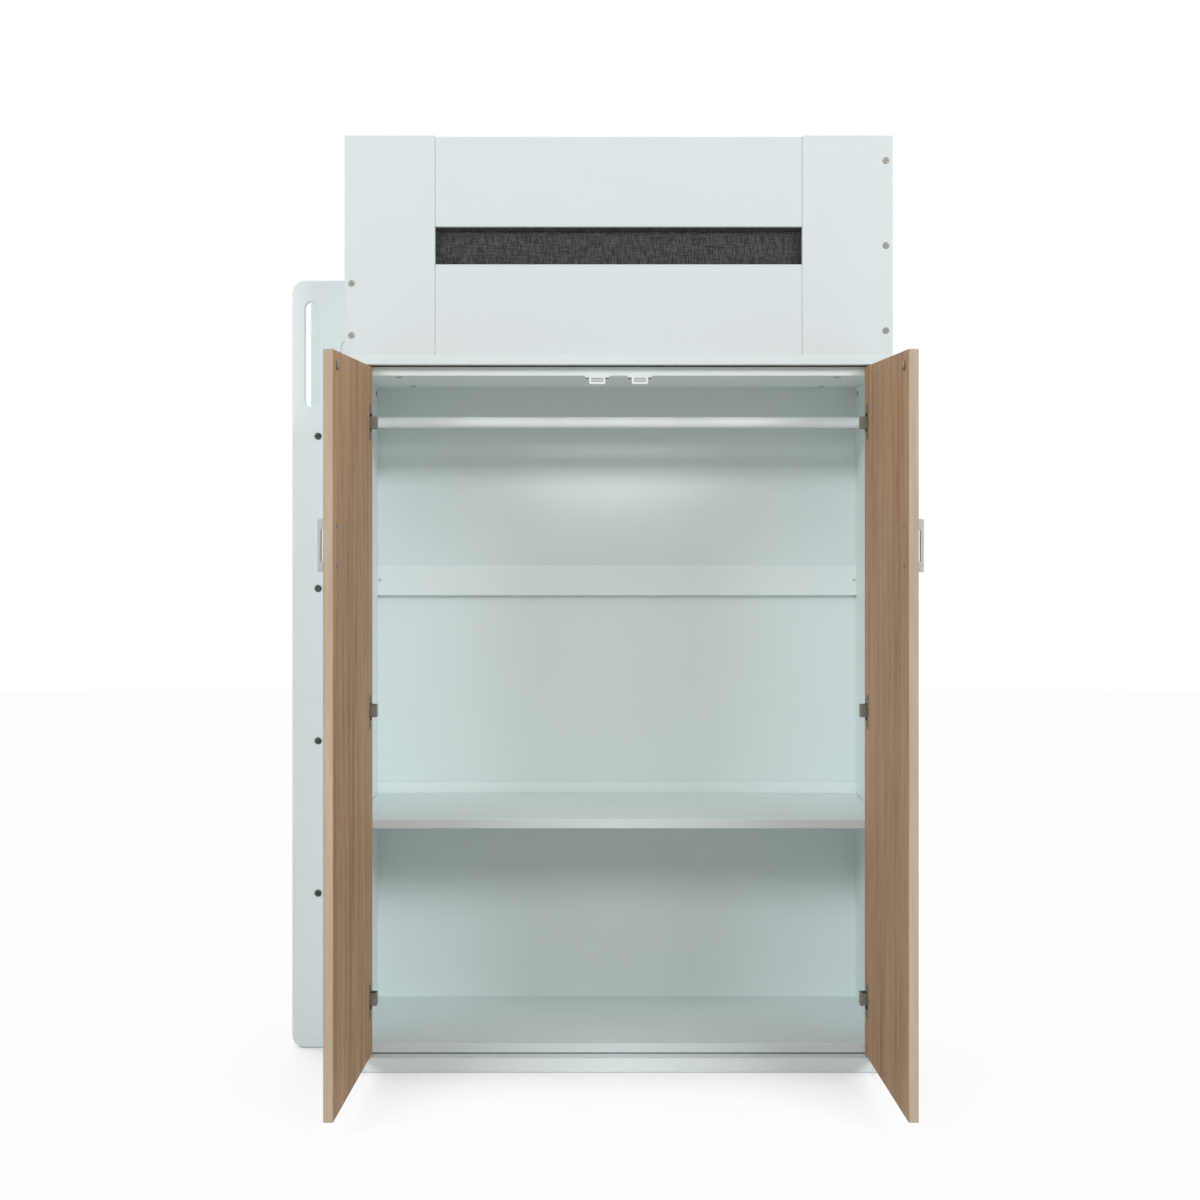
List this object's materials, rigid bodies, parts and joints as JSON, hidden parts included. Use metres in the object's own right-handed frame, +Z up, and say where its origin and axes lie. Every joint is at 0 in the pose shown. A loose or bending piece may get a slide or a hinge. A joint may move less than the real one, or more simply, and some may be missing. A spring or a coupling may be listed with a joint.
{
  "type": "loft bed with wardrobe",
  "caption": "Loft bed whose head end stands on a wardrobe with hinged doors, shelf and hanging rail, with a ladder at its side, guards and a mattress on slats.",
  "frame": {"origin": "on the floor under the wardrobe's plinth, 8 mm behind its front", "axes": "+Z up, +Y from the wardrobe's front towards the foot end, +X right when facing the wardrobe"},
  "size_m": [1.088, 2.4865, 1.6585],
  "materials": {
    "white_board": "satin",
    "white_hardboard": "matte",
    "oak_decor": "satin",
    "pine": "matte",
    "beech": "matte",
    "charcoal_fabric": "matte",
    "white_metal": "gloss",
    "white_plastic": "satin",
    "nickel": "satin",
    "zinc": "satin",
    "dark_zinc": "satin"
  },
  "bodies": {
    "bed": {"wardrobe_side_left": "white_board", "wardrobe_side_right": "white_board", "wardrobe_cover": "white_board", "wardrobe_ceiling": "white_board", "wardrobe_floor": "white_board", "wardrobe_shelf": "white_board", "plinth_front": "white_board", "back_rail_upper": "white_board", "back_rail_lower": "white_board", "head_stile_left": "white_board", "head_stile_right": "white_board", "head_rail_lower": "white_board", "head_rail_upper": "white_board", "foot_leg_left": "white_board", "foot_leg_right": "white_board", "foot_rail_lower": "white_board", "foot_rail_upper": "white_board", "foot_stretcher": "white_board", "side_rail_front": "white_board", "wall_guard": "white_board", "guard_rail": "white_board", "guard_posts": "white_board", "ladder_side_near": "white_board", "ladder_side_far": "white_board", "ladder_step_1": "white_board", "ladder_step_2": "white_board", "ladder_step_3": "white_board", "ladder_step_4": "white_board", "back_panel_upper": "white_hardboard", "back_panel_lower": "white_hardboard", "slat_ledges": "pine", "slats": "pine", "frame_dowels": "beech", "mattress": "charcoal_fabric", "hanging_rail": "white_metal", "hanging_rail_sockets": "white_plastic", "catch_housings": "white_plastic", "hinge_plates": "nickel", "hinge_arms": "nickel", "shelf_pins": "nickel", "catch_magnets": "nickel", "small_screws": "zinc", "frame_screws": "zinc", "ladder_brackets": "zinc", "cam_fasteners": "dark_zinc", "ladder_bolts": "dark_zinc"},
    "left_door": {"door_left": "oak_decor", "hinge_cups_left": "nickel", "hinge_pins_left": "nickel", "cup_screws_left": "zinc", "handle_left": "nickel", "handle_screws_left": "zinc", "strike_plate_left": "nickel"},
    "right_door": {"door_right": "oak_decor", "hinge_cups_right": "nickel", "hinge_pins_right": "nickel", "cup_screws_right": "zinc", "handle_right": "nickel", "handle_screws_right": "zinc", "strike_plate_right": "nickel"}
  },
  "joints": [
    {"name": "left_door_hinge", "type": "hinge", "parent": "bed", "child": "left_door", "pos_m": [-0.4475, -0.0005, 0.639], "axis": [0, 0, 1], "range_deg": [-3, 92]},
    {"name": "right_door_hinge", "type": "hinge", "parent": "bed", "child": "right_door", "pos_m": [0.4475, -0.0005, 0.639], "axis": [0, 0, -1], "range_deg": [-3, 92]}
  ]
}
